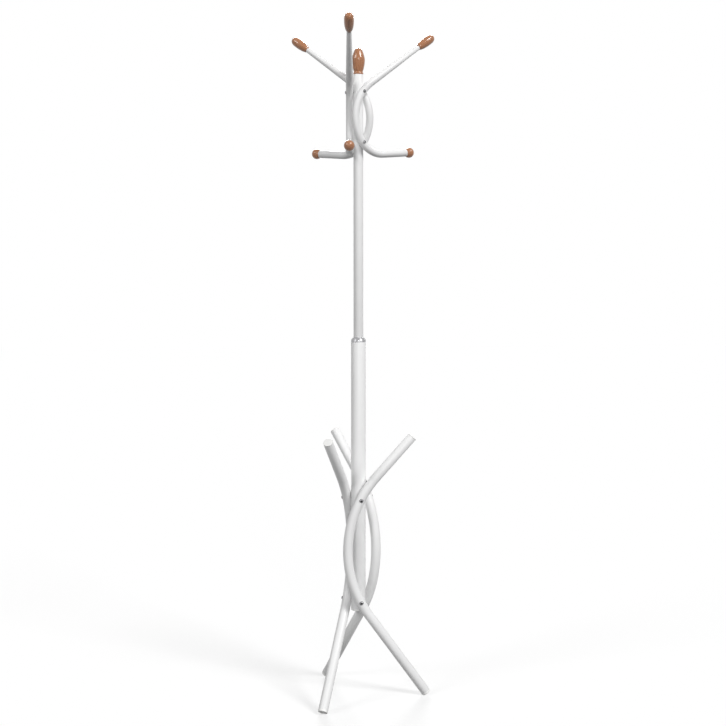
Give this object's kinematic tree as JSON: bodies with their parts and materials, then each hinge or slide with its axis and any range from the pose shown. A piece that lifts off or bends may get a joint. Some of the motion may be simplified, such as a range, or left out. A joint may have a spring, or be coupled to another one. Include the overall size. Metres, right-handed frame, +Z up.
{
  "type": "standing coat rack",
  "caption": "Free-standing coat rack: a stepped tube mast on bowed tube legs, with bent double hooks tipped in turned wood; the upper mast turns in the lower one.",
  "frame": {"origin": "on the mast axis, at floor level", "axes": "+Z up along the mast; +X the way leg 1 flares, its bow on the -Y side of the mast"},
  "size_m": [0.3624, 0.3861, 1.7274],
  "materials": {
    "white_paint": "glossy white powder coat on steel tube",
    "white_plastic": "moulded white plastic",
    "nylon": "moulded natural nylon",
    "bright_collar": "bright plated metal",
    "lacquered_wood": "turned hardwood, stained and glossy lacquered",
    "bolt_steel": "dark plated steel",
    "zinc_steel": "zinc-plated steel"
  },
  "bodies": {
    "base": {"lower_mast_tube": "white_paint", "mast_bottom_plug": "white_plastic", "reducer_collar": "bright_collar", "mast_socket": "nylon", "leg_bolts": "bolt_steel", "leg_rivet_nuts": "zinc_steel", "leg_tube_1": "white_paint", "leg_tube_2": "white_paint", "leg_tube_3": "white_paint", "leg_top_cap_1": "white_plastic", "leg_top_cap_2": "white_plastic", "leg_top_cap_3": "white_plastic", "foot_cap_1": "white_plastic", "foot_cap_2": "white_plastic", "foot_cap_3": "white_plastic"},
    "head": {"upper_mast_tube": "white_paint", "upper_mast_foot_plug": "nylon", "finial_insert": "zinc_steel", "finial_stud": "zinc_steel", "finial": "lacquered_wood", "hook_bolts": "bolt_steel", "hook_rivet_nuts": "zinc_steel", "knob_inserts": "zinc_steel", "knob_studs": "zinc_steel", "ball_inserts": "zinc_steel", "ball_studs": "zinc_steel", "hook_tube_1": "white_paint", "hook_tube_2": "white_paint", "hook_tube_3": "white_paint", "hook_knob_1": "lacquered_wood", "hook_knob_2": "lacquered_wood", "hook_knob_3": "lacquered_wood", "hook_ball_1": "lacquered_wood", "hook_ball_2": "lacquered_wood", "hook_ball_3": "lacquered_wood"}
  },
  "joints": [
    {"name": "upper_mast_swivel", "type": "hinge", "parent": "base", "child": "head", "pos_m": [0, 0, 0.845], "axis": [0, 0, 1], "continuous": true}
  ]
}
